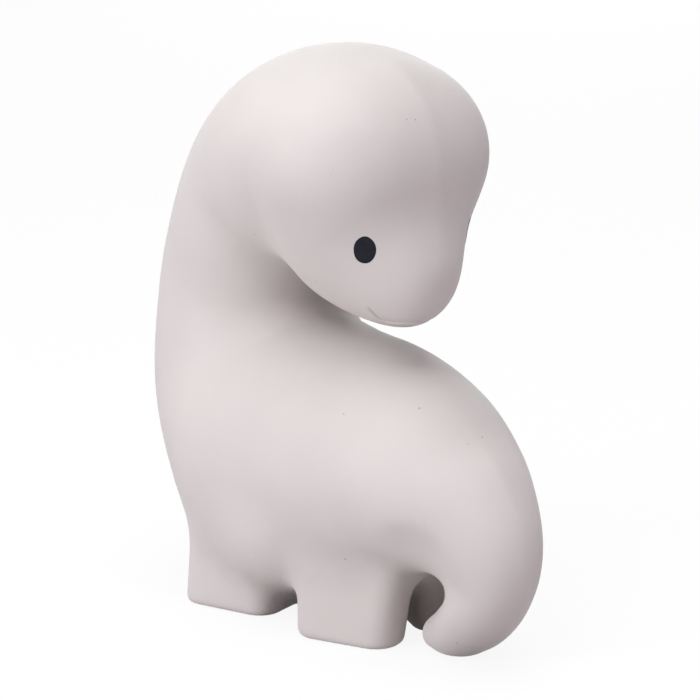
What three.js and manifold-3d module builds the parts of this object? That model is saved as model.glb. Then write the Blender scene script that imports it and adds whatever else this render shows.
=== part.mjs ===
// A hollow rubber dinosaur that looks back over its own tail, sealed by a plug in the belly,
// with a rattle capsule loose inside it. Millimetres, +Z up; the chest faces -X, the tail and
// the face are at +X, and the plane y = 0 is the plane of symmetry and of the mould's parting line.
import * as THREE from "three";
import { mergeVertices } from "three/addons/utils/BufferGeometryUtils.js";
import Module from "manifold-3d";

const wasm = await Module();
wasm.setup();

// Main sizes of the toy, over its swept forms; the forms drawn below are stretched to them
const LENGTH = 89.2;
const WIDTH = 46.2;
const HEIGHT = 104.7;

// Rubber skin
const WALL = 3.0;
const CLEARANCE = 0.3;

// Swept forms, as stations along a centre line in the plane of symmetry:
// x, z, radius in that plane, half width across it
const TAIL_TO_CHEST = [
  [27.1, 3.1, 3.3, 4.2],
  [31.6, 4.8, 5.0, 6.0],
  [37.5, 9.4, 6.0, 8.1],
  [39.7, 16.5, 5.8, 9.3],
  [37.4, 22.0, 8.6, 10.9],
  [32.7, 26.6, 11.3, 13.2],
  [25.6, 29.2, 14.7, 16.4],
  [16.4, 31.1, 18.7, 19.0],
  [4.8, 29.5, 23.4, 20.7],
  [-10.2, 26.4, 24.5, 22.6],
];
const CHEST_TO_FOREHEAD = [
  [-16.8, 32.2, 21.5, 20.9],
  [-24.3, 39.4, 18.8, 20.3],
  [-26.1, 54.9, 17.1, 18.2],
  [-22.8, 67.1, 16.6, 18.4],
  [-17.3, 77.5, 17.0, 18.8],
  [-8.1, 83.8, 18.4, 21.1],
  [0.7, 86.4, 18.3, 22.1],
  [6.3, 85.4, 18.4, 23.1],
];
const HOLLOW_STATION = 5; // the tail is solid rubber as far as this station
const NAPE_STATION = 5; // where the neck ends and the head begins

// Rounded lumps of the face
const CHEEK = { x: 6.5, z: 72.8, radius: 14.1, halfWidth: 16.1 };
const SNOUT = { x: 17.5, z: 65.6, radius: 6.8, halfWidth: 6.2 };

// Stub legs, as columns with rounded corners, cut flat at the soles. They are turned out by some
// degrees, and their front and rear ends lean towards the tail by some millimetres for each one of height.
const FRONT_LEG = {
  x: -16.2, y: 10.8, halfLength: 9.9, halfWidth: 7.6, corner: 4.0, turn: 18, frontLean: 0.08, rearLean: 0,
};
const REAR_LEG = {
  x: 12.2, y: 9.2, halfLength: 9.9, halfWidth: 5.0, corner: 3.8, turn: 20, frontLean: 0, rearLean: 0.15,
};
const LEG_TOP = 18.0;
const LEG_TOP_ROUND = 7.0;
const LEG_UNDERCUT = 6.0; // how far the columns run on below the soles before they are cut

// How softly the forms run into each other
const LEG_BLEND = 2.4;
const SADDLE_BLEND = 9.0;
const CHEEK_BLEND = 6.0;
const SNOUT_BLEND = 13.0;
const THROAT_BLEND = 1.6;
const CHIN_BLEND = 0.4;
const NAPE_BLEND = 0.05;
const THROAT_TOP = 66.0;
const NAPE_BOTTOM = 84.0;
const THROAT_X = -7.0;
const CHIN_X = 5.0;

// Eyes, as thin oval lenses sunk flush in the cheeks
const EYE_X = 19.1;
const EYE_Z = 72.7;
const EYE_WIDTH = 3.9;
const EYE_HEIGHT = 5.2;
const EYE_THICKNESS = 0.8;
const EYE_DOME = 0.25;

// Plug that closes the filling hole in the belly
const PLUG_X = -3.0;
const PLUG_INSET = 0.2;
const PLUG_FLANGE_RADIUS = 5.5;
const PLUG_FLANGE_THICKNESS = 1.0;
const PLUG_STEM_RADIUS = 4.0;
const PLUG_HEAD_RADIUS = 5.4;
const PLUG_HEAD_TOP_RADIUS = 3.6;
const PLUG_HEAD_HEIGHT = 2.2;

// Rattle capsule: a cup and a cap that snap together, and the pellets inside
const RATTLE_RADIUS = 8.5;
const RATTLE_HEIGHT = 17.0;
const RATTLE_WALL = 1.6;
const RATTLE_ROUND = 3.6;
const RATTLE_SPLIT = 8.0;
const RATTLE_LIP = 2.4;
const PELLET_RADIUS = 1.4;
const PELLET_RING_RADIUS = 3.6;
const PELLET_RING_COUNT = 5;

// Fineness of the faceted surfaces
const SKIN_CELL = 2.62;
const HOLLOW_CELL = 5.2;
const ROUND_SIDES = 24;
const ARC_STEPS = 4;
const SPAN_STEPS = 8;
const EYE_SIDES = 20;
const PELLET_SIDES = 10;

// Accuracy of the measures taken from the forms
const SLOPE_STEP = 0.05;
const SETTLE_PASSES = 4;
const LEAST_SLOPE = 0.5;
const CROSSING_PASSES = 40;

const RUBBER = new THREE.MeshStandardMaterial({ color: 0xe0d8d5, roughness: 0.75 });
const EYE_PAINT = new THREE.MeshStandardMaterial({ color: 0x272b34, roughness: 0.5 });
const PLUG_RUBBER = new THREE.MeshStandardMaterial({ color: 0xd8cfcb, roughness: 0.8 });
const CASE_PLASTIC = new THREE.MeshStandardMaterial({ color: 0xf1efe9, roughness: 0.35 });
const PELLET_PLASTIC = new THREE.MeshStandardMaterial({ color: 0xd9b26a, roughness: 0.4 });

// Blends of signed distances, negative inside

function smoothUnion(a, b, reach) {
  const overlap = Math.max(reach - Math.abs(a - b), 0) / reach;
  return Math.min(a, b) - (overlap * overlap * reach) / 4;
}

function smoothCut(a, b, reach) {
  return -smoothUnion(-a, -b, reach);
}

function ramp(value, from, to) {
  return Math.min(Math.max((value - from) / (to - from), 0), 1);
}

// Forms of the dinosaur, as signed distances

function smoothStations(stations) {
  const last = stations.length - 1;
  const extend = (end, next) => end.map((value, i) => 2 * value - next[i]);
  const points = [
    extend(stations[0], stations[1]),
    ...stations,
    extend(stations[last], stations[last - 1]),
  ];
  const line = [];
  for (let span = 1; span <= last; span++) {
    for (let step = 0; step < SPAN_STEPS; step++) {
      const t = step / SPAN_STEPS;
      line.push(points[span].map((b, i) => {
        const [a, c, d] = [points[span - 1][i], points[span + 1][i], points[span + 2][i]];
        const bend = (2 * a - 5 * b + 4 * c - d) * t * t;
        const twist = (3 * b - a - 3 * c + d) * t * t * t;
        return (2 * b + (c - a) * t + bend + twist) / 2;
      }));
    }
  }
  line.push(stations[last]);
  return line;
}

function sweptForm(line) {
  return (x, y, z) => {
    let nearest = Infinity;
    for (let i = 0; i + 1 < line.length; i++) {
      const [ax, az, aRadius, aWidth] = line[i];
      const [bx, bz, bRadius, bWidth] = line[i + 1];
      const runX = bx - ax;
      const runZ = bz - az;
      const along = (x - ax) * runX + (z - az) * runZ;
      const t = Math.min(Math.max(along / (runX * runX + runZ * runZ), 0), 1);
      const radius = aRadius + t * (bRadius - aRadius);
      const width = aWidth + t * (bWidth - aWidth);
      const across = (y * radius) / width;
      const distance = Math.hypot(x - ax - t * runX, across, z - az - t * runZ) - radius;
      nearest = Math.min(nearest, distance);
    }
    return nearest;
  };
}

function lumpForm(lump) {
  return (x, y, z) => {
    const across = (y * lump.radius) / lump.halfWidth;
    return Math.hypot(x - lump.x, across, z - lump.z) - lump.radius;
  };
}

function legForm(leg) {
  const turn = THREE.MathUtils.degToRad(leg.turn);
  const shiftSlope = (leg.frontLean + leg.rearLean) / 2;
  const spreadSlope = (leg.rearLean - leg.frontLean) / 2;
  return (x, y, z) => {
    const offX = x - leg.x;
    const offY = Math.abs(y) - leg.y;
    const along = offX * Math.cos(turn) - offY * Math.sin(turn) - shiftSlope * z;
    const across = offX * Math.sin(turn) + offY * Math.cos(turn);
    const overLength = Math.max(Math.abs(along) - leg.halfLength - spreadSlope * z + leg.corner, 0);
    const overWidth = Math.max(Math.abs(across) - leg.halfWidth + leg.corner, 0);
    const side = Math.hypot(overLength, overWidth) - leg.corner;
    const capped = smoothCut(side, z - LEG_TOP, LEG_TOP_ROUND);
    return Math.max(capped, -z - LEG_UNDERCUT);
  };
}

function headForm(line) {
  const cranium = sweptForm(line);
  const cheek = lumpForm(CHEEK);
  const snout = lumpForm(SNOUT);
  return (x, y, z) => {
    const jaw = smoothUnion(cranium(x, y, z), cheek(x, y, z), CHEEK_BLEND);
    return smoothUnion(jaw, snout(x, y, z), SNOUT_BLEND);
  };
}

// The throat is a soft crease and the chin hangs free of the back; at the nape the neck and
// the head share one centre line, so they meet with hardly any blend.
function neckBlend(x, z) {
  const freeChin = ramp(x, THROAT_X, CHIN_X);
  const throat = THROAT_BLEND + (CHIN_BLEND - THROAT_BLEND) * freeChin;
  const height = ramp(z, THROAT_TOP, NAPE_BOTTOM);
  const fade = height * height * (3 - 2 * height);
  return throat + (NAPE_BLEND - throat) * fade;
}

function dinosaurForm(tailStations, legs) {
  const backbone = smoothStations(CHEST_TO_FOREHEAD);
  const nape = NAPE_STATION * SPAN_STEPS;
  const trunk = sweptForm(smoothStations(tailStations));
  const neck = sweptForm(backbone.slice(0, nape + 1));
  const head = headForm(backbone.slice(nape));
  const stubs = legs.map(legForm);
  return (x, y, z) => {
    let body = trunk(x, y, z);
    for (const stub of stubs) {
      body = smoothUnion(body, stub(x, y, z), LEG_BLEND);
    }
    body = smoothUnion(body, neck(x, y, z), SADDLE_BLEND);
    return smoothUnion(body, head(x, y, z), neckBlend(x, z));
  };
}

// Box of the swept forms as drawn, and how far it is stretched each way to the main sizes
function drawnBox() {
  const box = new THREE.Box3();
  for (const [x, z, radius, halfWidth] of [...TAIL_TO_CHEST, ...CHEST_TO_FOREHEAD]) {
    box.expandByPoint(new THREE.Vector3(x - radius, -halfWidth, 0));
    box.expandByPoint(new THREE.Vector3(x + radius, halfWidth, z + radius));
  }
  return box;
}

const drawnSize = drawnBox().getSize(new THREE.Vector3());
const stretch = new THREE.Vector3(LENGTH, WIDTH, HEIGHT).divide(drawnSize);

function stretched(form) {
  return (x, y, z) => form(x / stretch.x, y / stretch.y, z / stretch.z);
}

const outside = stretched(dinosaurForm(TAIL_TO_CHEST, [FRONT_LEG, REAR_LEG]));
const coreForm = stretched(dinosaurForm(TAIL_TO_CHEST.slice(HOLLOW_STATION), []));
const hollow = (x, y, z) => coreForm(x, y, z) + WALL;

// Measures taken from a form

function slope(form, x, y, z) {
  return new THREE.Vector3(
    form(x + SLOPE_STEP, y, z) - form(x - SLOPE_STEP, y, z),
    form(x, y + SLOPE_STEP, z) - form(x, y - SLOPE_STEP, z),
    form(x, y, z + SLOPE_STEP) - form(x, y, z - SLOPE_STEP),
  ).divideScalar(2 * SLOPE_STEP);
}

function settle(form, point) {
  for (let pass = 0; pass < SETTLE_PASSES; pass++) {
    const value = form(point.x, point.y, point.z);
    const gradient = slope(form, point.x, point.y, point.z);
    point.addScaledVector(gradient, -value / Math.max(gradient.lengthSq(), LEAST_SLOPE ** 2));
  }
  return point;
}

function firstCrossing(form, from, to) {
  const low = from.clone();
  const high = to.clone();
  const middle = new THREE.Vector3();
  for (let pass = 0; pass < CROSSING_PASSES; pass++) {
    middle.lerpVectors(low, high, 0.5);
    const inside = form(middle.x, middle.y, middle.z) < 0;
    (inside ? high : low).copy(middle);
  }
  return middle;
}

// The hollow's floor under a point of its middle, found between the ground and the trunk's centre line.
function floorOf(form, x, y) {
  const ground = new THREE.Vector3(x, y, 0);
  const core = new THREE.Vector3(x, y, TAIL_TO_CHEST.at(-1)[1] * stretch.z);
  return firstCrossing(form, ground, core).z;
}

// Faceted surface of a form: one vertex for each sheet of the surface in each cell of a grid

const CELL_CORNERS = 8;
const CELL_EDGES = [];
const EDGE_BETWEEN = new Map();
const pairKey = (corner, other) => corner * CELL_CORNERS + other;
for (let axis = 0; axis < 3; axis++) {
  for (let corner = 0; corner < CELL_CORNERS; corner++) {
    const other = corner | (1 << axis);
    if (other !== corner) {
      EDGE_BETWEEN.set(pairKey(corner, other), CELL_EDGES.length);
      EDGE_BETWEEN.set(pairKey(other, corner), CELL_EDGES.length);
      CELL_EDGES.push([corner, other]);
    }
  }
}
const CELL_FACES = [];
for (let axis = 0; axis < 3; axis++) {
  const first = 1 << (axis + 1) % 3;
  const second = 1 << (axis + 2) % 3;
  for (const base of [0, 1 << axis]) {
    CELL_FACES.push([base, base | first, base | first | second, base | second]);
  }
}

// Crossed edges of one cell, grouped by the sheet of the surface that crosses them.
function sheetsOfCell(inside) {
  const leader = CELL_EDGES.map((_, edge) => edge);
  const find = (edge) => (leader[edge] === edge ? edge : find(leader[edge]));
  for (const face of CELL_FACES) {
    const edges = face.map((corner, t) => EDGE_BETWEEN.get(pairKey(corner, face[(t + 1) % 4])));
    const crossed = edges.filter((edge) => {
      const [start, end] = CELL_EDGES[edge];
      return inside[start] !== inside[end];
    });
    if (crossed.length === 2) {
      leader[find(crossed[0])] = find(crossed[1]);
    }
    if (crossed.length === 4) {
      for (let t = 0; t < 4; t++) {
        if (inside[face[t]]) {
          leader[find(edges[(t + 3) % 4])] = find(edges[t]);
        }
      }
    }
  }
  const sheets = new Map();
  CELL_EDGES.forEach(([start, end], edge) => {
    if (inside[start] !== inside[end]) {
      const root = find(edge);
      sheets.set(root, [...(sheets.get(root) ?? []), edge]);
    }
  });
  return [...sheets.values()];
}

function facetedSolid(form, cell, box) {
  const counts = box.getSize(new THREE.Vector3()).divideScalar(cell).ceil().addScalar(1);
  const strides = [1, counts.x, counts.x * counts.y];
  const grid = [counts.x, counts.y, counts.z];
  const place = (i, j, k) => new THREE.Vector3(i, j, k).multiplyScalar(cell).add(box.min);
  const values = new Float64Array(grid[0] * grid[1] * grid[2]);
  eachNode(grid, (i, j, k) => {
    const p = place(i, j, k);
    values[i + j * strides[1] + k * strides[2]] = form(p.x, p.y, p.z);
  });

  const vertices = [];
  const vertexOfEdge = new Map();
  const edgeKey = (node, edge) => node * CELL_EDGES.length + edge;
  eachNode(grid.map((count) => count - 1), (i, j, k) => {
    const node = i + j * strides[1] + k * strides[2];
    const offset = (corner) => strides.reduce((sum, s, axis) => sum + ((corner >> axis) & 1) * s, 0);
    const heights = Array.from({ length: CELL_CORNERS }, (_, corner) => values[node + offset(corner)]);
    const inside = heights.map((height) => height < 0);
    if (inside.every((side) => side === inside[0])) {
      return;
    }
    const cornerPlace = (c) => place(i + (c & 1), j + ((c >> 1) & 1), k + ((c >> 2) & 1));
    for (const edges of sheetsOfCell(inside)) {
      const point = new THREE.Vector3();
      for (const edge of edges) {
        const [start, end] = CELL_EDGES[edge];
        const t = heights[start] / (heights[start] - heights[end]);
        point.add(cornerPlace(start).lerp(cornerPlace(end), t));
        vertexOfEdge.set(edgeKey(node, edge), vertices.length);
      }
      vertices.push(settle(form, point.divideScalar(edges.length)));
    }
  });

  const triangles = [];
  eachNode(grid, (...start) => {
    const node = start.reduce((sum, index, axis) => sum + index * strides[axis], 0);
    for (let axis = 0; axis < 3; axis++) {
      const a = (axis + 1) % 3;
      const b = (axis + 2) % 3;
      const reaches = start[axis] + 1 < grid[axis] && start[a] > 0 && start[b] > 0;
      const end = node + strides[axis];
      if (!reaches || values[node] < 0 === values[end] < 0) {
        continue;
      }
      const around = [[0, 0], [1, 0], [1, 1], [0, 1]].map(([backA, backB]) => {
        const cornerStart = (backA << a) | (backB << b);
        const edge = EDGE_BETWEEN.get(pairKey(cornerStart, cornerStart | (1 << axis)));
        return vertexOfEdge.get(edgeKey(node - backA * strides[a] - backB * strides[b], edge));
      });
      const quad = values[node] < 0 ? around : around.reverse();
      const [p, q, r, s] = quad.map((vertex) => vertices[vertex]);
      const order = p.distanceTo(r) < q.distanceTo(s) ? [0, 1, 2, 0, 2, 3] : [0, 1, 3, 1, 2, 3];
      triangles.push(...order.map((corner) => quad[corner]));
    }
  });
  return solidFrom(vertices.flatMap((v) => [v.x, v.y, v.z]), triangles);
}

function eachNode([countX, countY, countZ], visit) {
  for (let k = 0; k < countZ; k++) {
    for (let j = 0; j < countY; j++) {
      for (let i = 0; i < countX; i++) {
        visit(i, j, k);
      }
    }
  }
}

// Solids for joining and cutting

function solidFrom(positions, triangles) {
  const vertProperties = new Float32Array(positions);
  const triVerts = new Uint32Array(triangles);
  return new wasm.Manifold(new wasm.Mesh({ numProp: 3, vertProperties, triVerts }));
}

function merged(geometry) {
  geometry.deleteAttribute("normal");
  geometry.deleteAttribute("uv");
  return mergeVertices(geometry);
}

function solidOf(geometry, matrix = new THREE.Matrix4()) {
  const closed = merged(geometry.clone().applyMatrix4(matrix));
  return solidFrom(closed.attributes.position.array, closed.index.array);
}

function geometryOf(solid) {
  const { vertProperties, triVerts } = solid.getMesh();
  const geometry = new THREE.BufferGeometry();
  geometry.setAttribute("position", new THREE.BufferAttribute(vertProperties, 3));
  geometry.setIndex(new THREE.BufferAttribute(triVerts, 1));
  geometry.computeVertexNormals();
  return geometry;
}

// A solid of revolution about Z, from a profile of radius and height.
function turned(profile, sides = ROUND_SIDES) {
  const points = profile.map(([radius, height]) => new THREE.Vector2(radius, height));
  return new THREE.LatheGeometry(points, sides).rotateX(Math.PI / 2);
}

function uprightCylinder(radius, bottom, top) {
  const height = top - bottom;
  const cylinder = new THREE.CylinderGeometry(radius, radius, height, ROUND_SIDES);
  return cylinder.rotateX(Math.PI / 2).translate(0, 0, (bottom + top) / 2);
}

function arc(centreRadius, centreHeight, radius, fromAngle, toAngle) {
  return Array.from({ length: ARC_STEPS + 1 }, (_, step) => {
    const angle = fromAngle + ((toAngle - fromAngle) * step) / ARC_STEPS;
    return [centreRadius + radius * Math.cos(angle), centreHeight + radius * Math.sin(angle)];
  });
}

function mesh(name, geometry, material) {
  const made = new THREE.Mesh(geometry, material);
  made.name = name;
  return made;
}

// Eyes

function eyePlacement(side) {
  const from = new THREE.Vector3(EYE_X, 2 * side * CHEEK.halfWidth, EYE_Z).multiply(stretch);
  const to = new THREE.Vector3(EYE_X, 0, EYE_Z).multiply(stretch);
  const place = firstCrossing(outside, from, to);
  const normal = slope(outside, place.x, place.y, place.z).normalize();
  const across = new THREE.Vector3(0, 0, 1).cross(normal).normalize();
  const up = normal.clone().cross(across);
  return new THREE.Matrix4().makeBasis(across, up, normal).setPosition(place);
}

function eyeGeometry() {
  const dome = Array.from({ length: ARC_STEPS }, (_, step) => {
    const radius = 1 - step / ARC_STEPS;
    return [radius, -EYE_DOME * radius * radius];
  });
  const profile = [[0, -EYE_THICKNESS], [1, -EYE_THICKNESS], ...dome, [0, 0]];
  return turned(profile, EYE_SIDES).scale(EYE_WIDTH / 2, EYE_HEIGHT / 2, 1);
}

function eyeRecess() {
  const depth = EYE_THICKNESS + CLEARANCE;
  const cylinder = new THREE.CylinderGeometry(1, 1, 2 * depth, EYE_SIDES).rotateX(Math.PI / 2);
  return cylinder.scale(EYE_WIDTH / 2 + CLEARANCE, EYE_HEIGHT / 2 + CLEARANCE, 1);
}

const eyePlaces = { right_eye: eyePlacement(-1), left_eye: eyePlacement(1) };

// Plug, seated between the belly's outside and the hollow's floor

const plugX = PLUG_X * stretch.x;
function highestFloor(form, radius) {
  const angles = Array.from({ length: ROUND_SIDES }, (_, i) => (2 * Math.PI * i) / ROUND_SIDES);
  const heights = angles.map((angle) => floorOf(form, plugX + radius * Math.cos(angle), radius * Math.sin(angle)));
  return Math.max(...heights);
}

const plugBottom = highestFloor(outside, PLUG_FLANGE_RADIUS) + PLUG_INSET;
const flangeTop = plugBottom + PLUG_FLANGE_THICKNESS;
const headBottom = highestFloor(hollow, PLUG_HEAD_RADIUS) + CLEARANCE;
const headTop = headBottom + PLUG_HEAD_HEIGHT;

function plugGeometry() {
  return turned([
    [0, plugBottom],
    [PLUG_FLANGE_RADIUS, plugBottom],
    [PLUG_FLANGE_RADIUS, flangeTop],
    [PLUG_STEM_RADIUS, flangeTop],
    [PLUG_STEM_RADIUS, headBottom],
    [PLUG_HEAD_RADIUS, headBottom],
    [PLUG_HEAD_TOP_RADIUS, headTop],
    [0, headTop],
  ]);
}

function plugHole() {
  const seat = uprightCylinder(PLUG_FLANGE_RADIUS + CLEARANCE, -plugBottom, flangeTop + CLEARANCE);
  const bore = uprightCylinder(PLUG_STEM_RADIUS + CLEARANCE, -plugBottom, headTop);
  const place = new THREE.Matrix4().makeTranslation(plugX, 0, 0);
  return solidOf(seat, place).add(solidOf(bore, place));
}

// Skin: the blended form, cut flat at the soles and hollowed, with a hole for the plug and recesses
// for the eyes

function gridBox(cell) {
  const box = drawnBox();
  for (const lump of [CHEEK, SNOUT]) {
    const reach = new THREE.Vector3(lump.radius, lump.halfWidth, lump.radius);
    box.expandByPoint(new THREE.Vector3(lump.x, 0, lump.z).add(reach));
  }
  const whole = (length) => Math.ceil(length / cell + 1) * cell;
  const { x, y, z } = box.max.multiply(stretch);
  return new THREE.Box3(
    new THREE.Vector3(-whole(-box.min.x * stretch.x), -whole(y), -whole(LEG_UNDERCUT * stretch.z)),
    new THREE.Vector3(whole(x), whole(y), whole(z)),
  );
}

function groundBlock() {
  const size = gridBox(SKIN_CELL).getSize(new THREE.Vector3());
  return new THREE.BoxGeometry(2 * size.x, 2 * size.y, size.z).translate(0, 0, -size.z / 2);
}

function skinGeometry() {
  let skin = facetedSolid(outside, SKIN_CELL, gridBox(SKIN_CELL)).subtract(solidOf(groundBlock()));
  skin = skin.subtract(facetedSolid(hollow, HOLLOW_CELL, gridBox(HOLLOW_CELL)));
  skin = skin.subtract(plugHole());
  for (const place of Object.values(eyePlaces)) {
    skin = skin.subtract(solidOf(eyeRecess(), place));
  }
  return geometryOf(skin);
}

// Rattle, drawn from its own floor up

const innerRadius = RATTLE_RADIUS - RATTLE_WALL;
const innerRound = RATTLE_ROUND - RATTLE_WALL;
const lipGap = (RATTLE_WALL - CLEARANCE) / 2;
const quarter = Math.PI / 2;

function rattleCup() {
  const lipTop = RATTLE_SPLIT + RATTLE_LIP;
  const lipRadius = innerRadius + lipGap;
  return turned([
    [0, 0],
    ...arc(RATTLE_RADIUS - RATTLE_ROUND, RATTLE_ROUND, RATTLE_ROUND, -quarter, 0),
    [RATTLE_RADIUS, RATTLE_SPLIT],
    [lipRadius, RATTLE_SPLIT],
    [lipRadius, lipTop],
    [innerRadius, lipTop],
    ...arc(innerRadius - innerRound, RATTLE_ROUND, innerRound, 0, -quarter),
    [0, RATTLE_WALL],
  ]);
}

function rattleCap() {
  const skirtBottom = RATTLE_SPLIT + CLEARANCE;
  const skirtTop = skirtBottom + RATTLE_LIP;
  const skirtRadius = RATTLE_RADIUS - lipGap;
  const roundBottom = RATTLE_HEIGHT - RATTLE_ROUND;
  return turned([
    [0, RATTLE_HEIGHT - RATTLE_WALL],
    ...arc(innerRadius - innerRound, roundBottom, innerRound, quarter, 0),
    [innerRadius, skirtTop],
    [skirtRadius, skirtTop],
    [skirtRadius, skirtBottom],
    [RATTLE_RADIUS, skirtBottom],
    ...arc(RATTLE_RADIUS - RATTLE_ROUND, roundBottom, RATTLE_ROUND, 0, quarter),
    [0, RATTLE_HEIGHT],
  ]);
}

function pellet(index) {
  const ball = new THREE.SphereGeometry(PELLET_RADIUS, PELLET_SIDES, PELLET_SIDES - 2);
  const made = mesh(`rattle_pellet_${index + 1}`, merged(ball.rotateX(quarter)), PELLET_PLASTIC);
  const angle = (2 * Math.PI * index) / PELLET_RING_COUNT;
  const ring = index < PELLET_RING_COUNT ? PELLET_RING_RADIUS : 0;
  const height = RATTLE_WALL + CLEARANCE + PELLET_RADIUS;
  made.position.set(ring * Math.cos(angle), ring * Math.sin(angle), height);
  return made;
}

function rattle() {
  const group = new THREE.Group();
  group.add(mesh("rattle_case_lower", merged(rattleCup()), CASE_PLASTIC));
  group.add(mesh("rattle_case_upper", merged(rattleCap()), CASE_PLASTIC));
  for (let index = 0; index <= PELLET_RING_COUNT; index++) {
    group.add(pellet(index));
  }
  group.position.set(plugX, 0, headTop + CLEARANCE);
  return group;
}

// The whole toy, standing on its soles with its origin under the middle of its box

function dinosaur() {
  const assembly = new THREE.Group();
  const skin = mesh("rubber_skin", skinGeometry(), RUBBER);
  assembly.add(skin);
  const plug = mesh("base_plug", merged(plugGeometry()), PLUG_RUBBER);
  plug.position.x = plugX;
  assembly.add(plug);
  for (const [name, place] of Object.entries(eyePlaces)) {
    const eye = mesh(name, merged(eyeGeometry()), EYE_PAINT);
    eye.applyMatrix4(place);
    assembly.add(eye);
  }
  assembly.add(rattle());
  const middle = new THREE.Box3().setFromObject(skin).getCenter(new THREE.Vector3());
  assembly.position.x = -middle.x;
  const whole = new THREE.Group();
  whole.name = "rubber_dinosaur";
  whole.add(assembly);
  return whole;
}

export default dinosaur();
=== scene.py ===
"""Looks of the rubber dinosaur teether: smooth skin, painted eyes, plug, materials, light and camera."""

import math

import bmesh
import bpy
import numpy as np
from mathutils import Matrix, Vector
from mathutils.bvhtree import BVHTree


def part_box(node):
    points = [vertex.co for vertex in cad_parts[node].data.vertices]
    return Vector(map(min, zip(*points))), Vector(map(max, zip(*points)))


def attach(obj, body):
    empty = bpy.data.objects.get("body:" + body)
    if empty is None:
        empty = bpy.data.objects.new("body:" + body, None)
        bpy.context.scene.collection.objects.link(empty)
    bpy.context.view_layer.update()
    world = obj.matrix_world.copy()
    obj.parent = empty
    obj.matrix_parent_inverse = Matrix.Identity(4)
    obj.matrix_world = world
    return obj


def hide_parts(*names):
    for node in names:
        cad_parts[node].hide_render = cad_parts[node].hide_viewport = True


MM = 0.001

# Swept forms of the toy in millimetres, as stations along a centre line in the plane of symmetry:
# x, z, radius in that plane, half width across it
TAIL_TO_CHEST = [
    (27.1, 3.1, 3.3, 4.2),
    (31.6, 4.8, 5.0, 6.0),
    (37.0, 9.8, 6.0, 7.9),
    (39.5, 16.5, 7.6, 8.2),
    (37.4, 22.0, 10.2, 9.9),
    (32.7, 26.6, 12.1, 12.6),
    (25.6, 29.2, 14.7, 16.4),
    (16.4, 31.1, 18.7, 19.0),
    (4.8, 29.5, 23.4, 20.7),
    (-10.2, 26.4, 24.5, 22.6),
]
CHEST_TO_FOREHEAD = [
    (-16.8, 32.2, 21.5, 20.9),
    (-24.3, 39.4, 18.8, 20.3),
    (-26.1, 54.9, 17.1, 18.2),
    (-22.8, 67.1, 16.6, 18.4),
    (-17.3, 77.5, 17.0, 18.8),
    (-8.1, 83.8, 18.4, 21.1),
    (0.7, 86.4, 18.3, 22.1),
    (6.3, 85.4, 18.4, 23.1),
]
NAPE_STATION = 5  # where the neck ends and the head begins
SPAN_STEPS = 16

# Lumps of the face, the lower belly beside the front legs, and the hollow between hip and tail:
# x, y, z, radius, half width
CHEEK = (6.5, 0.0, 72.8, 14.1, 16.1)
SNOUT = (17.5, 0.0, 65.6, 6.8, 6.2)
BELLY = (-5.5, 12.4, 17.0, 9.8, 8.8)
TAIL_HOLLOW = (35.5, 20.5, 18.0, 9.3, 9.3)

# Stub legs, turned out by some degrees, whose ends lean towards the tail by a share of the height
FRONT_LEG = {"x": -16.2, "y": 10.8, "half_length": 9.9, "half_width": 7.6, "corner": 4.4,
             "turn": 18.0, "front_lean": 0.08, "rear_lean": 0.0}
REAR_LEG = {"x": 12.2, "y": 9.2, "half_length": 9.9, "half_width": 5.0, "corner": 4.6,
            "turn": 22.0, "front_lean": 0.0, "rear_lean": 0.15}
LEG_TOP = 18.0
LEG_TOP_ROUND = 7.0
SOLE_ROUND = 1.4

# How softly the forms run into each other, in millimetres
BELLY_BLEND = 5.5
HOLLOW_BLEND = 3.5
LEG_BLEND = 4.0
SADDLE_BLEND = 9.0
CHEEK_BLEND = 6.0
SNOUT_BLEND = 13.0
THROAT_BLEND = 1.6
CHIN_BLEND = 0.4
NAPE_BLEND = 0.05

# Where the blend of head and body changes, up the neck and from throat to chin, in millimetres
THROAT_TOP = 66.0
NAPE_BOTTOM = 84.0
THROAT_X = -7.0
CHIN_X = 5.0

# Skin mesh: size of its quads, and how it is smoothed
SKIN_VOXEL = 0.7 * MM
SMOOTH_PASSES = 30
EVEN_PASSES = 3
SMOOTH_IN = 0.5
SMOOTH_OUT = -0.53
SPREAD_STEPS = 20

# How the skin's points settle on the form, with reach and step in millimetres
SETTLE_PASSES = 3
SETTLE_REACH = 4.0
SLOPE_STEP = 0.02
LEAST_SLOPE = 0.5

# Inner corner of the tail's hook: its place, and how far it is rounded, in millimetres
HOOK_X = 33.5
HOOK_Z = 16.0
HOOK_CORE = 3.0
HOOK_REACH = 7.0
HOOK_PASSES = 40

# Parting line of the two mould halves, in the plane y = 0. It is faint, and grows clear over a range
# of x and of z on the face and over a range of x on the tail, in millimetres.
SEAM_REACH = 2.0 * MM
SEAM_HEIGHT = 0.7 * MM
SEAM_WIDTH = 3.5 * MM
SEAM_GROOVE = 0.1 * MM
SEAM_GROOVE_WIDTH = 0.45 * MM
SEAM_SNAP = 0.1 * MM
SEAM_FAINT = 0.2
SEAM_FACE = (6.0, 16.0)
SEAM_FACE_BOTTOM = (62.0, 70.0)
SEAM_TAIL = (36.0, 41.0)

# Mouth, as points on the near side of the snout in millimetres, mirrored for the far side
MOUTH = [
    (16.6, -9.1, 62.0),
    (16.6, -7.8, 60.4),
    (17.0, -5.8, 58.8),
    (18.8, -4.3, 58.5),
    (20.0, -3.3, 58.6),
    (20.9, 0.0, 58.7),
]
MOUTH_REACH = 1.4 * MM
MOUTH_DEPTH = 0.35 * MM
MOUTH_WIDTH = 0.35 * MM
MOUTH_FADE = 0.1
MOUTH_STEPS = 24
MOUTH_SPLITS = 2

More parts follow.
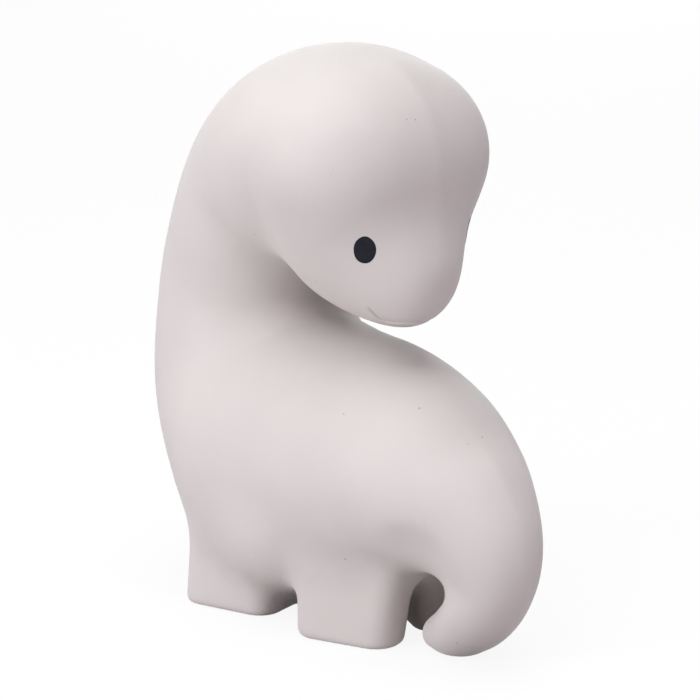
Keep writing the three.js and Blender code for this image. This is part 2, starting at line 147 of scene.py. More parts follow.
# Eyes
HEAD_CENTRE = np.array([3.0, 0.0, 80.0]) * MM
POCKET_RADIUS = 3.2 * MM
POCKET_DEPTH = 2.4 * MM
AROUND_EYE = 7.0 * MM
EYE_HALF_WIDTH = 1.95 * MM
EYE_HALF_HEIGHT = 2.6 * MM
EYE_FILM = 0.07 * MM
EYE_SUNK = 0.25 * MM
EYE_RIM = 0.9
EYE_RIM_SINK = 0.02 * MM
EYE_RINGS = 10
EYE_RING_CROWDING = 1.6
EYE_STEPS = 72
EYE_RAY_START = 6.0 * MM

# Waves of an eye's hand-painted rim: how many go round it, their share of its reach, and their phase
EYE_WAVES = [(2, 0.018, 0.6), (3, 0.014, 2.0), (5, 0.008, 0.9)]

# Plug in the belly
PLUG_X = -3.0
PLUG_STEM = 4.0 * MM
PLUG_FLANGE = 1.0 * MM
PLUG_HEAD_HEIGHT = 2.2 * MM
PLUG_HEAD_RADIUS = 5.4 * MM
PLUG_HEAD_TOP = 3.6 * MM
PLUG_EDGE = 0.25 * MM
PLUG_EDGE_STEPS = 5
PLUG_STEPS = 96
PLUG_CLEAR = 7.0 * MM
PLUG_CLEAR_TOP = 12.0 * MM

# Materials: colours, sizes of blotches and of changes in finish, and roughness from low to high
SKIN_PALE = (0.68, 0.642, 0.625)
SKIN_WARM = (0.66, 0.618, 0.604)
PLUG_PALE = (0.61, 0.575, 0.56)
PLUG_WARM = (0.59, 0.55, 0.535)
EYE_DARK = (0.009, 0.011, 0.018)
EYE_PALE = (0.012, 0.015, 0.023)
CASE_PALE = (0.86, 0.84, 0.78)
CASE_DEEP = (0.82, 0.79, 0.72)
PELLET_PALE = (0.70, 0.43, 0.13)
PELLET_DEEP = (0.62, 0.36, 0.10)
BLOTCH_DETAIL = 3.0
BLOTCH_RANGE = (0.35, 0.65)
FINISH_RANGE = (0.3, 0.7)
RUBBER_BLOTCH = 18.0 * MM
RUBBER_FINISH = 4.0 * MM
RUBBER_ROUGHNESS = (0.5, 0.6)
RUBBER_SHINE = 0.12
RUBBER_GLOW = 0.1
RUBBER_GLOW_DEPTH = 1.5 * MM
RUBBER_GLOW_COLOUR = (1.0, 0.7, 0.6)
EYE_BLOTCH = 1.2 * MM
EYE_ROUGHNESS = (0.1, 0.14)
EYE_SHINE = 0.15
PLASTIC_BLOTCH = 4.0 * MM
PLASTIC_FINISH = 2.0 * MM
PLASTIC_SPREAD = 0.08
CASE_ROUGHNESS = 0.25
PELLET_ROUGHNESS = 0.22
PELLETS = 6

# Fine relief of the materials: size and detail of its noise, height, strength
RUBBER_GRAIN = (0.5 * MM, 4.0, 0.05 * MM, 0.2)
RUBBER_WAVES = (7.0 * MM, 2.0, 0.3 * MM, 0.1)
EYE_GRAIN = (0.4 * MM, 3.0, 0.04 * MM, 0.2)
PLASTIC_GRAIN = (0.6 * MM, 3.0, 0.02 * MM, 0.2)

# Specks of the rubber: size of a cell, share of cells with a speck, and the speck's core and rim
SPECK_CELL = 4.5 * MM
SPECK_SHARE = 0.5
SPECK_EDGE = 0.02
SPECK_DOT = (0.02, 0.06)
SPECK_SHADE = 0.6

# Camera, with shifts measured in pixels of the picture
PIVOT_HEIGHT = 45.0 * MM
AZIMUTH = math.radians(50.0)
ELEVATION = math.radians(15.0)
CAMERA_DISTANCE = 600.0 * MM
VIEW_WIDTH = 126.0 * MM
SENSOR = 36.0
PICTURE_WIDTH = 700.0
SHIFT_X = 4.0 / PICTURE_WIDTH
SHIFT_Y = 22.5 / PICTURE_WIDTH
CLIP_START = 10.0 * MM

# Light: each softbox has a direction, a distance and a size in metres, a level and a colour
SOFTBOXES = {
    "top": ((0.0, 0.0, 1.0), 0.8, 0.8, 0.80, (0.985, 1.0, 1.005)),
    "front": ((0.3, -0.6, 0.75), 0.8, 0.6, 0.23, (1.0, 1.02, 0.98)),
    "left": ((-0.2, -0.95, 0.18), 0.8, 0.36, 0.63, (0.99, 0.98, 1.02)),
    "right": ((0.95, 0.05, 0.18), 0.8, 0.36, 0.28, (1.03, 0.945, 1.04)),
    "behind": ((-0.7, 0.7, 0.35), 0.8, 0.6, 0.20, (1.0, 1.0, 1.0)),
}

# Sky and floor, white where they are seen. The glow is the floor's share of white that takes no shadow.
SKY_LEVEL = 0.05
SKY_COLOUR = (1.0, 0.94, 0.95)
FLOOR_SIZE = 6.0
FLOOR_DROP = 0.02 * MM
FLOOR_COLOUR = (0.43, 0.395, 0.405)
FLOOR_SEEN = (1.0, 1.0, 1.0)
FLOOR_GLOW = 0.9


# Form of the toy as signed distances, negative inside, at points in millimetres

def smooth_union(first, second, reach):
    overlap = np.maximum(reach - np.abs(first - second), 0.0) / reach
    return np.minimum(first, second) - overlap * overlap * reach / 4


def smooth_cut(first, second, reach):
    return -smooth_union(-first, -second, reach)


def between(value, low, high):
    return np.clip((value - low) / (high - low), 0.0, 1.0)


def smooth_step(value, low, high):
    share = between(value, low, high)
    return share * share * (3.0 - 2.0 * share)


def smooth_line(knots, steps):
    """A smooth line through rows of numbers, with some steps between each two."""
    knots = np.array(knots, dtype=float)
    padded = np.concatenate([[2 * knots[0] - knots[1]], knots, [2 * knots[-1] - knots[-2]]])
    line = []
    for a, b, c, d in zip(padded, padded[1:], padded[2:], padded[3:]):
        for t in np.arange(steps) / steps:
            bend = (2 * a - 5 * b + 4 * c - d) * t ** 2
            twist = (3 * b - a - 3 * c + d) * t ** 3
            line.append((2 * b + (c - a) * t + bend + twist) / 2)
    line.append(knots[-1])
    return np.array(line)


def swept_form(points, line):
    nearest = np.full(len(points), np.inf)
    for start, end in zip(line, line[1:]):
        run = end - start
        from_x = points[:, 0] - start[0]
        from_z = points[:, 2] - start[1]
        share = np.clip((from_x * run[0] + from_z * run[1]) / (run[0] ** 2 + run[1] ** 2), 0.0, 1.0)
        radius = start[2] + share * run[2]
        across = points[:, 1] * radius / (start[3] + share * run[3])
        reach = np.sqrt((from_x - share * run[0]) ** 2 + across ** 2 + (from_z - share * run[1]) ** 2)
        np.minimum(nearest, reach - radius, out=nearest)
    return nearest


def lump_form(points, lump):
    x, y, z, radius, half_width = lump
    across = (np.abs(points[:, 1]) - y) * radius / half_width
    return np.sqrt((points[:, 0] - x) ** 2 + across ** 2 + (points[:, 2] - z) ** 2) - radius


def leg_form(points, leg):
    turn = math.radians(leg["turn"])
    shift_slope = (leg["front_lean"] + leg["rear_lean"]) / 2
    spread_slope = (leg["rear_lean"] - leg["front_lean"]) / 2
    off_x = points[:, 0] - leg["x"]
    off_y = np.abs(points[:, 1]) - leg["y"]
    height = points[:, 2]
    along = off_x * math.cos(turn) - off_y * math.sin(turn) - shift_slope * height
    across = off_x * math.sin(turn) + off_y * math.cos(turn)
    half_length = leg["half_length"] + spread_slope * height
    over_length = np.maximum(np.abs(along) - half_length + leg["corner"], 0.0)
    over_width = np.maximum(np.abs(across) - leg["half_width"] + leg["corner"], 0.0)
    side = np.hypot(over_length, over_width) - leg["corner"]
    return smooth_cut(side, height - LEG_TOP, LEG_TOP_ROUND)


def neck_blend(points):
    """A soft crease at the throat, a free chin, and hardly any blend at the nape."""
    free_chin = between(points[:, 0], THROAT_X, CHIN_X)
    throat = THROAT_BLEND + (CHIN_BLEND - THROAT_BLEND) * free_chin
    return throat + (NAPE_BLEND - throat) * smooth_step(points[:, 2], THROAT_TOP, NAPE_BOTTOM)


TRUNK_LINE = smooth_line(TAIL_TO_CHEST, SPAN_STEPS)
BACKBONE = smooth_line(CHEST_TO_FOREHEAD, SPAN_STEPS)
NAPE = NAPE_STATION * SPAN_STEPS


def toy_form(points):
    body = swept_form(points, TRUNK_LINE)
    body = smooth_union(body, lump_form(points, BELLY), BELLY_BLEND)
    body = smooth_cut(body, -lump_form(points, TAIL_HOLLOW), HOLLOW_BLEND)
    for leg in (FRONT_LEG, REAR_LEG):
        body = smooth_union(body, leg_form(points, leg), LEG_BLEND)
    body = smooth_union(body, swept_form(points, BACKBONE[:NAPE + 1]), SADDLE_BLEND)
    head = smooth_union(swept_form(points, BACKBONE[NAPE:]), lump_form(points, CHEEK), CHEEK_BLEND)
    head = smooth_union(head, lump_form(points, SNOUT), SNOUT_BLEND)
    whole = smooth_union(body, head, neck_blend(points))
    return smooth_cut(whole, -points[:, 2], SOLE_ROUND)


def settled(points):
    """Points moved onto the form's surface."""
    for _ in range(SETTLE_PASSES):
        value = toy_form(points)
        slope = np.empty_like(points)
        for axis in range(3):
            ahead = points.copy()
            ahead[:, axis] += SLOPE_STEP
            slope[:, axis] = (toy_form(ahead) - value) / SLOPE_STEP
        steepness = np.maximum((slope ** 2).sum(axis=1), LEAST_SLOPE ** 2)
        points = points - slope * (value / steepness)[:, None]
    return points


# Mesh arrays

def mesh_points(mesh):
    points = np.empty(len(mesh.vertices) * 3)
    mesh.vertices.foreach_get("co", points)
    return points.reshape(-1, 3)


def mesh_normals(mesh):
    normals = np.empty(len(mesh.vertices) * 3)
    mesh.vertices.foreach_get("normal", normals)
    return normals.reshape(-1, 3)


def mesh_edges(mesh):
    edges = np.empty(len(mesh.edges) * 2, dtype=np.int64)
    mesh.edges.foreach_get("vertices", edges)
    return edges.reshape(-1, 2)


def set_points(mesh, points):
    mesh.vertices.foreach_set("co", points.ravel())
    mesh.update()


def add_object(name, mesh):
    piece = bpy.data.objects.new(name, mesh)
    bpy.context.scene.collection.objects.link(piece)
    return piece


def shade_smooth(mesh):
    mesh.polygons.foreach_set("use_smooth", [True] * len(mesh.polygons))


# Eye places

def eye_frame(node):
    """Centre of a CAD eye, and its sideways, upward and outward directions as columns."""
    points = mesh_points(node.data)
    centre = points.mean(axis=0)
    outward = np.linalg.svd(points - centre)[2][2]
    if outward @ (centre - HEAD_CENTRE) < 0:
        outward = -outward
    upward = np.array([0.0, 0.0, 1.0]) - outward * outward[2]
    upward /= np.linalg.norm(upward)
    sideways = np.cross(upward, outward)
    return centre, np.stack([sideways, upward, outward], axis=1)


def quadric_terms(u, v):
    return np.stack([np.ones_like(u), u, v, u * u, u * v, v * v], axis=1)


def fill_pocket(points, place):
    """Lifts the floor and rim of an eye pocket to the form around it."""
    centre, axes = place
    local = (points - centre) @ axes
    radius = np.hypot(local[:, 0], local[:, 1])
    outer = np.abs(local[:, 2]) < POCKET_DEPTH
    around = outer & (radius > POCKET_RADIUS) & (radius < AROUND_EYE)
    terms = quadric_terms(local[around, 0], local[around, 1])
    shape = np.linalg.lstsq(terms, local[around, 2], rcond=None)[0]
    inside = outer & (radius <= POCKET_RADIUS)
    local[inside, 2] = quadric_terms(local[inside, 0], local[inside, 1]) @ shape
    points[inside] = local[inside] @ axes.T + centre


# Skin

def remeshed(mesh):
    """An even mesh of small quads over the same closed form."""
    rough = add_object("rough_skin", mesh)
    remesh = rough.modifiers.new("even", "REMESH")
    remesh.mode = "VOXEL"
    remesh.voxel_size = SKIN_VOXEL
    depsgraph = bpy.context.evaluated_depsgraph_get()
    even = bpy.data.meshes.new_from_object(rough.evaluated_get(depsgraph))
    bpy.data.objects.remove(rough)
    return even


def neighbour_mean(points, edges, degree):
    total = np.empty_like(points)
    for axis in range(3):
        ahead = np.bincount(edges[:, 0], weights=points[edges[:, 1], axis], minlength=len(points))
        behind = np.bincount(edges[:, 1], weights=points[edges[:, 0], axis], minlength=len(points))
        total[:, axis] = ahead + behind
    return total / degree[:, None]


def smoothed(points, edges, passes):
    """Evens out the facets without shrinking the form, with the soles kept on the ground."""
    degree = np.bincount(edges.ravel(), minlength=len(points))
    for _ in range(passes):
        for step in (SMOOTH_IN, SMOOTH_OUT):
            points = points + step * (neighbour_mean(points, edges, degree) - points)
            points[:, 2] = np.maximum(points[:, 2], 0.0)
    return points


def with_round_hook(points, edges):
    """Rounds the inner corner of the tail's hook."""
    degree = np.bincount(edges.ravel(), minlength=len(points))
    local = (points - model_shift) / MM
    off = np.hypot(local[:, 0] - HOOK_X, local[:, 2] - HOOK_Z)
    share = 1.0 - smooth_step(off, HOOK_CORE, HOOK_REACH)
    for _ in range(HOOK_PASSES):
        points = points + SMOOTH_IN * share[:, None] * (neighbour_mean(points, edges, degree) - points)
    return points


def outer_side(points, edges):
    """Marks the points of the outer surface, which meets the hollow only in the plug's hole."""
    hole = np.hypot(points[:, 0] - plug_centre[0], points[:, 1] - plug_centre[1]) < PLUG_CLEAR
    hole &= points[:, 2] < PLUG_CLEAR_TOP
    reached = np.zeros(len(points), dtype=bool)
    reached[np.argmax(points[:, 2])] = True
    count = 0
    while reached.sum() > count:
        count = reached.sum()
        for _ in range(SPREAD_STEPS):
            ends = reached[edges]
            touched = edges[ends.any(axis=1)].ravel()
            reached[touched] = True
            reached[hole] = False
    return reached


def outer_points(mesh):
    return outer_side(mesh_points(mesh), mesh_edges(mesh))


def distance_to(points, line):
    """Distance of each point from a line of close points, and the share of the line passed there."""
    distance = np.full(len(points), np.inf)
    share = np.zeros(len(points))
    for index, place in enumerate(line):
        step = np.linalg.norm(points - place, axis=1)
        closer = step < distance
        distance[closer] = step[closer]
        share[closer] = index / (len(line) - 1)
    return distance, share


def refine(mesh, near):
    """Splits the edges whose ends are both marked."""
    shape = bmesh.new()
    shape.from_mesh(mesh)
    shape.verts.ensure_lookup_table()
    edges = [edge for edge in shape.edges if near[edge.verts[0].index] and near[edge.verts[1].index]]
    bmesh.ops.subdivide_edges(shape, edges=edges, cuts=1, use_grid_fill=True)
    bmesh.ops.triangulate(shape, faces=[face for face in shape.faces if len(face.verts) > 4])
    shape.to_mesh(mesh)
    shape.free()


def cut_at_seam(mesh):
    """Gives the mesh a row of points in the plane of the parting line."""
    shape = bmesh.new()
    shape.from_mesh(mesh)
    everything = shape.verts[:] + shape.edges[:] + shape.faces[:]
    bmesh.ops.bisect_plane(shape, geom=everything, dist=SEAM_SNAP, plane_co=(0, 0, 0), plane_no=(0, 1, 0))
    for vertex in shape.verts:
        if abs(vertex.co.y) < SEAM_SNAP:
            vertex.co.y = 0.0
    shape.to_mesh(mesh)
    shape.free()


def seam_strength(points):
    """The parting line is clear on the face and on the tail, and faint elsewhere."""
    x = (points[:, 0] - model_shift[0]) / MM
    z = points[:, 2] / MM
    face = smooth_step(x, *SEAM_FACE) * smooth_step(z, *SEAM_FACE_BOTTOM)
    clear = np.maximum(face, smooth_step(x, *SEAM_TAIL))
    return SEAM_FAINT + (1.0 - SEAM_FAINT) * clear


def press_lines(mesh, mouth):
    """Raises the parting line, with a shallow crease along it, and engraves the mouth."""
    points = mesh_points(mesh)
    outer = outer_points(mesh)
    off = np.abs(points[:, 1])
    ridge = SEAM_HEIGHT * np.exp(-off / SEAM_WIDTH)
    crease = SEAM_GROOVE * np.exp(-(off / SEAM_GROOVE_WIDTH) ** 2)
    seam = seam_strength(points) * (ridge - crease)
    distance, share = distance_to(points, mouth)
    taper = smooth_step(np.minimum(share, 1.0 - share), 0.0, MOUTH_FADE)
    groove = MOUTH_DEPTH * taper * np.exp(-(distance / MOUTH_WIDTH) ** 2)
    height = np.where(outer, seam - groove, 0.0)
    points = points + mesh_normals(mesh) * height[:, None]
    points[:, 2] = np.maximum(points[:, 2], 0.0)
    set_points(mesh, points)


def settle_outside(mesh):
    """Brings the outer surface onto the toy's exact form, with its crisp creases."""
    points = mesh_points(mesh)
    outer = outer_points(mesh)
    local = (points - model_shift) / MM
    near = np.flatnonzero(outer)
    near = near[np.abs(toy_form(local[near])) < SETTLE_REACH]
    local[near] = settled(local[near])
    edges = mesh_edges(mesh)
    points = with_round_hook(local * MM + model_shift, edges)
    set_points(mesh, smoothed(points, edges, EVEN_PASSES))


def mouth_line():
    near = np.array(MOUTH)
    far = near[-2::-1] * np.array([1.0, -1.0, 1.0])
    return smooth_line(np.concatenate([near, far]), MOUTH_STEPS) * MM + model_shift


def make_skin(places):
    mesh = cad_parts["rubber_skin"].data.copy()
    points = mesh_points(mesh)
    for place in places.values():
        fill_pocket(points, place)
    set_points(mesh, points)
    mesh = remeshed(mesh)
    set_points(mesh, smoothed(mesh_points(mesh), mesh_edges(mesh), SMOOTH_PASSES))
    settle_outside(mesh)
    cut_at_seam(mesh)
    for reach in (SEAM_REACH, SEAM_REACH / 2):
        refine(mesh, (np.abs(mesh_points(mesh)[:, 1]) < reach) & outer_points(mesh))
    mouth = mouth_line()
    for _ in range(MOUTH_SPLITS):
        refine(mesh, distance_to(mesh_points(mesh), mouth)[0] < MOUTH_REACH)
    press_lines(mesh, mouth)
    shade_smooth(mesh)
    skin = add_object("skin", mesh)
    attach(skin, "skin")
    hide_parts("rubber_skin")
    return skin


# Eyes

def eye_outline(turn):
    """Reach of the hand-painted oval in one direction, a little uneven."""
    uneven = 1.0
    for waves, share, phase in EYE_WAVES:
        uneven += share * math.sin(waves * turn + phase)
    return uneven * EYE_HALF_WIDTH * math.cos(turn), uneven * EYE_HALF_HEIGHT * math.sin(turn)


def eye_height(share):
    """Height of the paint over the skin, from its middle to its rounded rim."""
    if share < EYE_RIM:
        return EYE_FILM
    fall = (share - EYE_RIM) / (1.0 - EYE_RIM)
    return EYE_FILM * math.sqrt(max(0.0, 1.0 - fall * fall)) - EYE_RIM_SINK * fall


def make_eye(name, place, skin_tree):
    centre, axes = place
    outward = Vector(axes[:, 2])
    shape = bmesh.new()

    def on_skin(u, v, height):
        start = Vector(centre + axes[:, 0] * u + axes[:, 1] * v) + outward * EYE_RAY_START
        hit = skin_tree.ray_cast(start, -outward)[0]
        return shape.verts.new(hit + outward * height)

    def ring(share, height):
        row = []
        for step in range(EYE_STEPS):
            u, v = eye_outline(2 * math.pi * step / EYE_STEPS)
            row.append(on_skin(u * share, v * share, height))
        return row

    shares = [1.0 - (1.0 - index / EYE_RINGS) ** EYE_RING_CROWDING for index in range(1, EYE_RINGS + 1)]
    top = [ring(share, eye_height(share)) for share in shares]
    under = [ring(share, -EYE_SUNK) for share in shares]
    bridge_rings(shape, top + under[::-1])
    close_ring(shape, top[0], on_skin(0.0, 0.0, EYE_FILM))
    close_ring(shape, under[0], on_skin(0.0, 0.0, -EYE_SUNK))
    eye = finished(name + "_paint", shape)
    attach(eye, "skin")
    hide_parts(name)
    return eye


# Rings of points

def bridge_rings(shape, rows):
    for above, below in zip(rows, rows[1:]):
        for step in range(len(above)):
            after = (step + 1) % len(above)
            shape.faces.new((above[step], below[step], below[after], above[after]))


def close_ring(shape, row, middle):
    for step in range(len(row)):
        shape.faces.new((middle, row[step], row[(step + 1) % len(row)]))


def finished(name, shape):
    bmesh.ops.recalc_face_normals(shape, faces=shape.faces)
    mesh = bpy.data.meshes.new(name)
    shape.to_mesh(mesh)
    shape.free()
    shade_smooth(mesh)
    return add_object(name, mesh)


# Plug

def rounded(profile):
    """A profile whose inner corners are replaced by small rounds."""
    corners = [np.array(corner) for corner in profile]
    line = [corners[0]]
    for before, corner, after in zip(corners, corners[1:], corners[2:]):
        start = corner + PLUG_EDGE * (before - corner) / np.linalg.norm(before - corner)
        end = corner + PLUG_EDGE * (after - corner) / np.linalg.norm(after - corner)
        for t in np.linspace(0.0, 1.0, PLUG_EDGE_STEPS):
            line.append((1 - t) ** 2 * start + 2 * t * (1 - t) * corner + t ** 2 * end)
    line.append(corners[-1])
    return line


def make_plug():
    low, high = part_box("base_plug")
    flange = (high[0] - low[0]) / 2
    bottom = low[2]
    top = high[2]
    line = rounded([
        (0.0, bottom),
        (flange, bottom),
        (flange, bottom + PLUG_FLANGE),
        (PLUG_STEM, bottom + PLUG_FLANGE),
        (PLUG_STEM, top - PLUG_HEAD_HEIGHT),
        (PLUG_HEAD_RADIUS, top - PLUG_HEAD_HEIGHT),
        (PLUG_HEAD_TOP, top),
        (0.0, top),
    ])
    shape = bmesh.new()

    def ring(radius, height):
        row = []
        for turn in np.arange(PLUG_STEPS) * 2 * math.pi / PLUG_STEPS:
            x = plug_centre[0] + radius * math.cos(turn)
            y = plug_centre[1] + radius * math.sin(turn)
            row.append(shape.verts.new((x, y, height)))
        return row

    rows = [ring(radius, height) for radius, height in line[1:-1]]
    bridge_rings(shape, rows)
    for row, (_, height) in ((rows[0], line[0]), (rows[-1], line[-1])):
        close_ring(shape, row, shape.verts.new((plug_centre[0], plug_centre[1], height)))
    plug = finished("plug", shape)
    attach(plug, "skin")
    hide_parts("base_plug")
    return plug


# Materials

class Shader:
    """A material's node tree with short ways to add and link nodes."""

    def __init__(self, name):
        self.material = bpy.data.materials.new(name)
        self.material.use_nodes = True
        self.tree = self.material.node_tree
        self.surface = self.tree.nodes["Principled BSDF"]
        self.place = self.node("ShaderNodeTexCoord").outputs["Object"]

    def node(self, kind, **settings):
        made = self.tree.nodes.new(kind)
        for key, value in settings.items():
            setattr(made, key, value)
        return made

    def link(self, source, target):
        self.tree.links.new(source, target)

    def feed(self, name, source):
        self.link(source, self.surface.inputs[name])

    def noise(self, size, detail=BLOTCH_DETAIL):
        """Noise whose blotches are about one size across, in metres."""
        made = self.node("ShaderNodeTexNoise")
        made.inputs["Scale"].default_value = 1.0 / size
        made.inputs["Detail"].default_value = detail
        self.link(self.place, made.inputs["Vector"])
        return made.outputs["Fac"]

    def ramp(self, value, low, high, bottom=0.0, top=1.0, smooth=False):
        made = self.node("ShaderNodeMapRange")
        if smooth:
            made.interpolation_type = "SMOOTHSTEP"
        made.inputs["From Min"].default_value = low
        made.inputs["From Max"].default_value = high
        made.inputs["To Min"].default_value = bottom
        made.inputs["To Max"].default_value = top
        self.link(value, made.inputs["Value"])
        return made.outputs["Result"]

    def product(self, first, second):
        made = self.node("ShaderNodeMath", operation="MULTIPLY")
        self.link(first, made.inputs[0])
        self.link(second, made.inputs[1])
        return made.outputs[0]

    def mix(self, share, first, second):
        """Blend of two colours, each a colour or a socket."""
        made = self.node("ShaderNodeMix", data_type="RGBA")
        self.link(share, made.inputs["Factor"])
        for name, colour in (("A", first), ("B", second)):
            socket = [port for port in made.inputs if port.name == name and port.type == "RGBA"][0]
            if isinstance(colour, tuple):
                socket.default_value = (*colour, 1.0)
            else:
                self.link(colour, socket)
        return [port for port in made.outputs if port.type == "RGBA"][0]

    def relief(self, size, detail, height, strength, under=None):
        """Normals of a fine uneven relief, laid over another where one is given."""
        uneven = self.noise(size, detail)
        made = self.node("ShaderNodeBump")
        made.inputs["Distance"].default_value = height
        made.inputs["Strength"].default_value = strength
        self.link(uneven, made.inputs["Height"])
        if under:
            self.link(under, made.inputs["Normal"])
        return made.outputs["Normal"]

    def set(self, **values):
        for name, value in values.items():
            self.surface.inputs[name.replace("_", " ")].default_value = value


def specks(shader):
    """Tiny dots in some of the cells of a cell pattern."""
    cells = shader.node("ShaderNodeTexVoronoi")
    cells.inputs["Scale"].default_value = 1.0 / SPECK_CELL
    shader.link(shader.place, cells.inputs["Vector"])
    chosen = shader.node("ShaderNodeSeparateColor")
    shader.link(cells.outputs["Color"], chosen.inputs["Color"])
    empty = 1.0 - SPECK_SHARE
    picked = shader.ramp(chosen.outputs["Red"], empty, empty + SPECK_EDGE)
    dot = shader.ramp(cells.outputs["Distance"], *SPECK_DOT, 1.0, 0.0, smooth=True)
    return shader.product(picked, dot)


def rubber(name, pale, warm):
    """Matt natural rubber: faint blotches, tiny dark specks and a fine skin."""
    shader = Shader(name)
    blotches = shader.ramp(shader.noise(RUBBER_BLOTCH), *BLOTCH_RANGE)
    colour = shader.mix(blotches, pale, warm)
    speck_colour = tuple(channel * SPECK_SHADE for channel in warm)
    shader.feed("Base Color", shader.mix(specks(shader), colour, speck_colour))
    grain = shader.relief(*RUBBER_GRAIN)
    shader.feed("Normal", shader.relief(*RUBBER_WAVES, under=grain))
    finish = shader.noise(RUBBER_FINISH)
    shader.feed("Roughness", shader.ramp(finish, *FINISH_RANGE, *RUBBER_ROUGHNESS))
    shader.set(Specular_IOR_Level=RUBBER_SHINE, Subsurface_Weight=RUBBER_GLOW)
    shader.set(Subsurface_Scale=RUBBER_GLOW_DEPTH, Subsurface_Radius=RUBBER_GLOW_COLOUR)
    return shader.material


def eye_paint():
    shader = Shader("eye_paint")
    blotches = shader.ramp(shader.noise(EYE_BLOTCH), *BLOTCH_RANGE)
    shader.feed("Base Color", shader.mix(blotches, EYE_DARK, EYE_PALE))
    shader.feed("Normal", shader.relief(*EYE_GRAIN))
    shader.feed("Roughness", shader.ramp(blotches, 0.0, 1.0, *EYE_ROUGHNESS))
    shader.set(Specular_IOR_Level=EYE_SHINE)
    return shader.material


def plastic(name, pale, deep, roughness):
    shader = Shader(name)
    blotches = shader.ramp(shader.noise(PLASTIC_BLOTCH), *BLOTCH_RANGE)
    shader.feed("Base Color", shader.mix(blotches, pale, deep))
    shader.feed("Normal", shader.relief(*PLASTIC_GRAIN))
    finish = shader.noise(PLASTIC_FINISH)
    dull = roughness + PLASTIC_SPREAD
    shader.feed("Roughness", shader.ramp(finish, *FINISH_RANGE, roughness, dull))
    return shader.material


def wear(piece, material):
    piece.data.materials.clear()
    piece.data.materials.append(material)


# Stage, light and camera

def seen_directly(tree):
    """One for rays from the camera, a mirror or glass, and zero for light on matt surfaces."""
    path = tree.nodes.new("ShaderNodeLightPath")
    result = path.outputs["Is Camera Ray"]
    for kind in ("Is Glossy Ray", "Is Transmission Ray"):
        either = tree.nodes.new("ShaderNodeMath")
        either.operation = "MAXIMUM"
        tree.links.new(result, either.inputs[0])
        tree.links.new(path.outputs[kind], either.inputs[1])
        result = either.outputs[0]
    return result


def floor_material():
    """White where it is seen, with a faint share of the real shadow, and a dull grey to all other light."""
    material = bpy.data.materials.new("floor")
    material.use_nodes = True
    tree = material.node_tree
    tree.nodes.clear()
    seen = seen_directly(tree)
    colour = tree.nodes.new("ShaderNodeMixRGB")
    colour.inputs["Color1"].default_value = (*FLOOR_COLOUR, 1.0)
    colour.inputs["Color2"].default_value = (*FLOOR_SEEN, 1.0)
    diffuse = tree.nodes.new("ShaderNodeBsdfDiffuse")
    glow = tree.nodes.new("ShaderNodeEmission")
    glow.inputs["Strength"].default_value = 1.0
    share = tree.nodes.new("ShaderNodeMath")
    share.operation = "MULTIPLY"
    share.inputs[1].default_value = FLOOR_GLOW
    mixed = tree.nodes.new("ShaderNodeMixShader")
    output = tree.nodes.new("ShaderNodeOutputMaterial")
    tree.links.new(seen, colour.inputs["Fac"])
    tree.links.new(colour.outputs["Color"], diffuse.inputs["Color"])
    tree.links.new(seen, share.inputs[0])
    tree.links.new(share.outputs[0], mixed.inputs["Fac"])
    tree.links.new(diffuse.outputs[0], mixed.inputs[1])
    tree.links.new(glow.outputs[0], mixed.inputs[2])
    tree.links.new(mixed.outputs[0], output.inputs["Surface"])
    return material


def make_floor():
    half = FLOOR_SIZE / 2
    corners = [(-half, -half, -FLOOR_DROP), (half, -half, -FLOOR_DROP),
               (half, half, -FLOOR_DROP), (-half, half, -FLOOR_DROP)]
    mesh = bpy.data.meshes.new("floor")
    mesh.from_pydata(corners, [], [(0, 1, 2, 3)])
    floor = add_object("floor", mesh)
    wear(floor, floor_material())


def make_sky():
    """Soft light from all round, and plain white where it is seen."""
    world = bpy.data.worlds.new("sky")
    world.use_nodes = True
    tree = world.node_tree
    light = tree.nodes["Background"]
    light.inputs["Color"].default_value = (*SKY_COLOUR, 1.0)
    light.inputs["Strength"].default_value = SKY_LEVEL
    white = tree.nodes.new("ShaderNodeBackground")
    white.inputs["Color"].default_value = (1.0, 1.0, 1.0, 1.0)
    white.inputs["Strength"].default_value = 1.0
    mixed = tree.nodes.new("ShaderNodeMixShader")
    tree.links.new(seen_directly(tree), mixed.inputs["Fac"])
    tree.links.new(light.outputs[0], mixed.inputs[1])
    tree.links.new(white.outputs[0], mixed.inputs[2])
    tree.links.new(mixed.outputs[0], tree.nodes["World Output"].inputs["Surface"])
    bpy.context.scene.world = world


def make_softbox(name, direction, distance, size, level, colour):
    """A disk of light whose level is what a white matt face turned to it gives back."""
    lamp = bpy.data.lights.new(name, "AREA")
    lamp.shape = "DISK"
    lamp.size = size
    lamp.color = colour
    lamp.energy = level * math.pi ** 2 * distance ** 2
    softbox = bpy.data.objects.new(name, lamp)
    bpy.context.scene.collection.objects.link(softbox)
    towards = Vector(direction).normalized()
    softbox.location = pivot + towards * distance
    softbox.rotation_euler = (-towards).to_track_quat("-Z", "Y").to_euler()


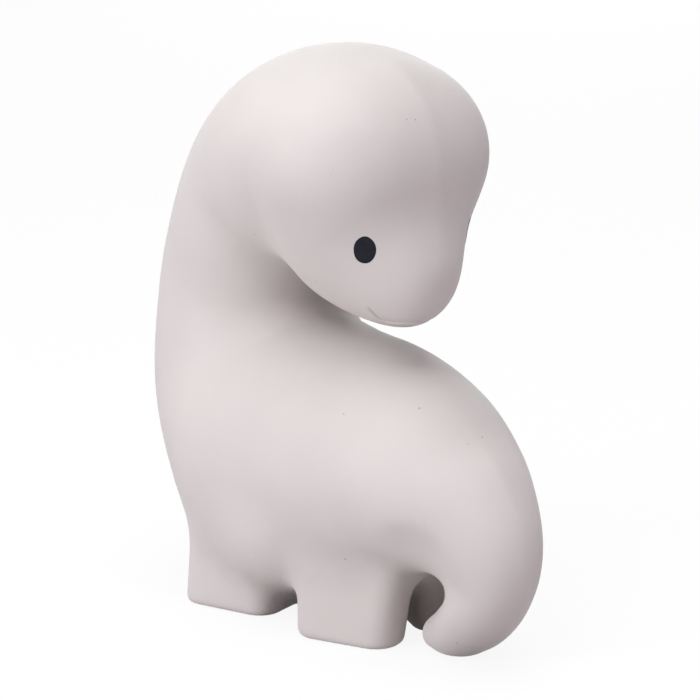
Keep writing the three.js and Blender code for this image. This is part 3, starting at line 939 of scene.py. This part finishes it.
def make_camera():
    lens = bpy.data.cameras.new("camera")
    lens.sensor_width = SENSOR
    lens.lens = SENSOR * CAMERA_DISTANCE / VIEW_WIDTH
    lens.shift_x = SHIFT_X
    lens.shift_y = SHIFT_Y
    lens.clip_start = CLIP_START
    camera = bpy.data.objects.new("camera", lens)
    bpy.context.scene.collection.objects.link(camera)
    back = Vector((math.sin(AZIMUTH) * math.cos(ELEVATION),
                   -math.cos(AZIMUTH) * math.cos(ELEVATION),
                   math.sin(ELEVATION)))
    camera.location = pivot + back * CAMERA_DISTANCE
    camera.rotation_euler = (-back).to_track_quat("-Z", "Y").to_euler()
    bpy.context.scene.camera = camera


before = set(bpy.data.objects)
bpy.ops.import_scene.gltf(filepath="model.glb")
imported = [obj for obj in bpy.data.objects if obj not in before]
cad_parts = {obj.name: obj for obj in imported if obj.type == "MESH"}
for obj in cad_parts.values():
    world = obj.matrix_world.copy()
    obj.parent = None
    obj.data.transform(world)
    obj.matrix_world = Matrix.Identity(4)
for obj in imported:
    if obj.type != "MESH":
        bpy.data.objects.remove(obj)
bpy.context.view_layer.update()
bpy.context.scene.view_settings.view_transform = "Standard"

plug_low, plug_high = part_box("base_plug")
plug_centre = (np.array(plug_low) + np.array(plug_high)) / 2
model_shift = np.array([plug_centre[0] - PLUG_X * MM, 0.0, 0.0])
pivot = Vector((model_shift[0], 0.0, PIVOT_HEIGHT))

skin_material = rubber("skin_rubber", SKIN_PALE, SKIN_WARM)
plug_material = rubber("plug_rubber", PLUG_PALE, PLUG_WARM)
eye_material = eye_paint()
case_material = plastic("case_plastic", CASE_PALE, CASE_DEEP, CASE_ROUGHNESS)
pellet_material = plastic("pellet_plastic", PELLET_PALE, PELLET_DEEP, PELLET_ROUGHNESS)

eye_places = {name: eye_frame(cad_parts[name]) for name in ("right_eye", "left_eye")}
skin_piece = make_skin(eye_places)
wear(skin_piece, skin_material)
skin_surface = BVHTree.FromObject(skin_piece, bpy.context.evaluated_depsgraph_get())
for eye_name, eye_place in eye_places.items():
    wear(make_eye(eye_name, eye_place, skin_surface), eye_material)
wear(make_plug(), plug_material)
for node_name in ("rattle_case_lower", "rattle_case_upper"):
    wear(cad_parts[node_name], case_material)
for number in range(1, PELLETS + 1):
    wear(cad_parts[f"rattle_pellet_{number}"], pellet_material)

make_floor()
make_sky()
for box_name, box_values in SOFTBOXES.items():
    make_softbox(box_name, *box_values)
make_camera()
